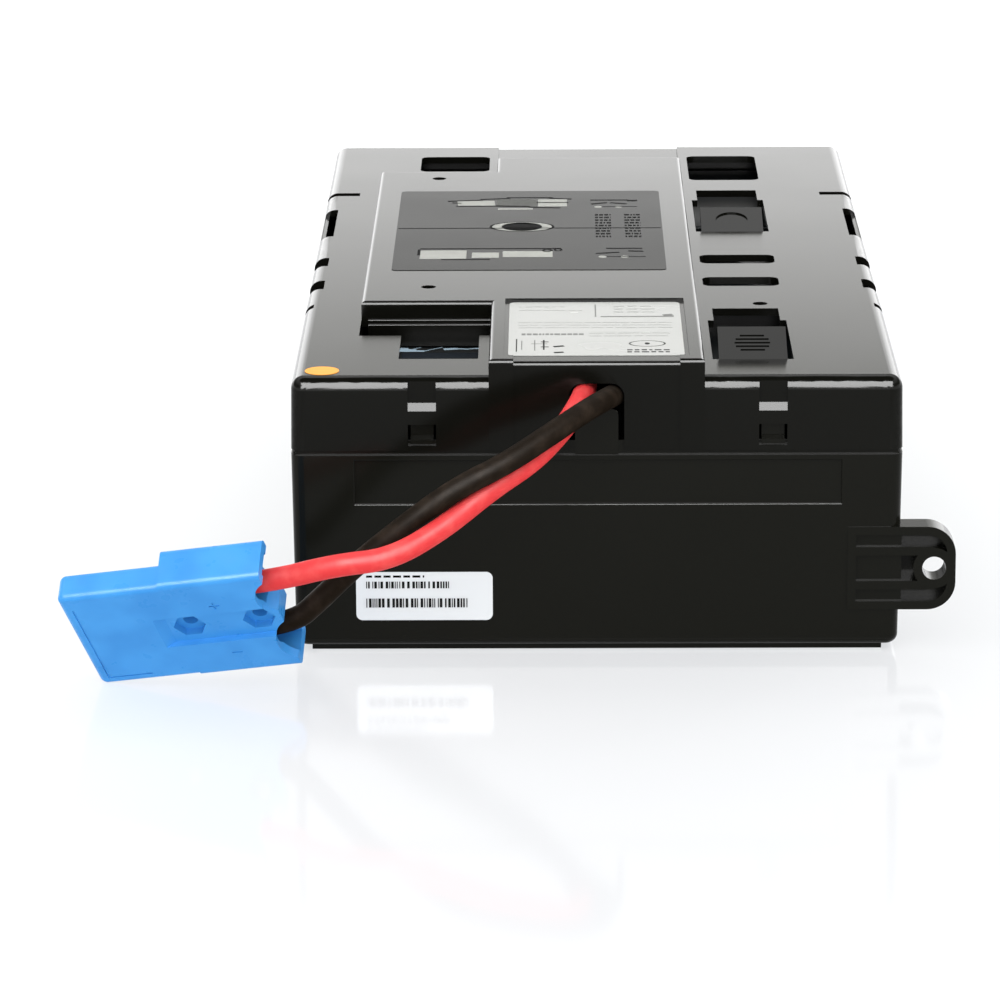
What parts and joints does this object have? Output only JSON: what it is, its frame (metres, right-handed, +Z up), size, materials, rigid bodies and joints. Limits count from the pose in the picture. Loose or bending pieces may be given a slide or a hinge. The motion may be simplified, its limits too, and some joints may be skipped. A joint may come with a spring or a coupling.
{
  "type": "ups battery cartridge",
  "caption": "Replacement battery cartridge: sealed lead-acid blocks in a two-shell black case with a screw ear, two heavy leads and a two-pole plug.",
  "frame": {"origin": "centre of the case's foot on its underside", "axes": "+Z up; the end with the lead exit faces -Y; +X to the right of a viewer who looks along +Y, on the side of the screw ear"},
  "size_m": [0.2707, 0.4339, 0.0935],
  "materials": {
    "tray_shell": "fine-grained black moulding",
    "cover_shell": "satin black moulding",
    "block_case": "satin",
    "block_lid": "satin",
    "terminal_tab": "tinned",
    "receptacle": "tinned",
    "foam": "open-cell foam",
    "jumper_wire": "satin",
    "red_lead": "satin",
    "black_lead": "satin",
    "plug": "satin",
    "contact": "silver-plated",
    "spring": "bright",
    "white_label": "gloss coated",
    "dark_label": "matte film",
    "marker": "gloss coated"
  },
  "bodies": {
    "root": {"bar_code_label": "white_label", "battery_case_front_left": "block_case", "battery_case_front_right": "block_case", "battery_case_middle_left": "block_case", "battery_case_middle_right": "block_case", "battery_case_rear_left": "block_case", "battery_case_rear_right": "block_case", "battery_lid_front_left": "block_lid", "battery_lid_front_right": "block_lid", "battery_lid_middle_left": "block_lid", "battery_lid_middle_right": "block_lid", "battery_lid_rear_left": "block_lid", "battery_lid_rear_right": "block_lid", "battery_tabs_front_left": "terminal_tab", "battery_tabs_front_right": "terminal_tab", "battery_tabs_middle_left": "terminal_tab", "battery_tabs_middle_right": "terminal_tab", "battery_tabs_rear_left": "terminal_tab", "battery_tabs_rear_right": "terminal_tab", "black_contact": "contact", "black_lead": "black_lead", "black_lead_inside": "black_lead", "black_spring": "spring", "bottom_tray": "tray_shell", "foam_pads": "foam", "jumper_front_middle_left": "jumper_wire", "jumper_front_middle_right": "jumper_wire", "jumper_middle_rear_left": "jumper_wire", "jumper_middle_rear_right": "jumper_wire", "jumper_rear": "jumper_wire", "marker_dot": "marker", "plug_housing": "plug", "rating_label": "white_label", "red_contact": "contact", "red_lead": "red_lead", "red_lead_inside": "red_lead", "red_spring": "spring", "safety_label": "dark_label", "tab_receptacles_front_left": "receptacle", "tab_receptacles_front_right": "receptacle", "tab_receptacles_middle_left": "receptacle", "tab_receptacles_middle_right": "receptacle", "tab_receptacles_rear_left": "receptacle", "tab_receptacles_rear_right": "receptacle", "top_cover": "cover_shell"}
  },
  "joints": []
}
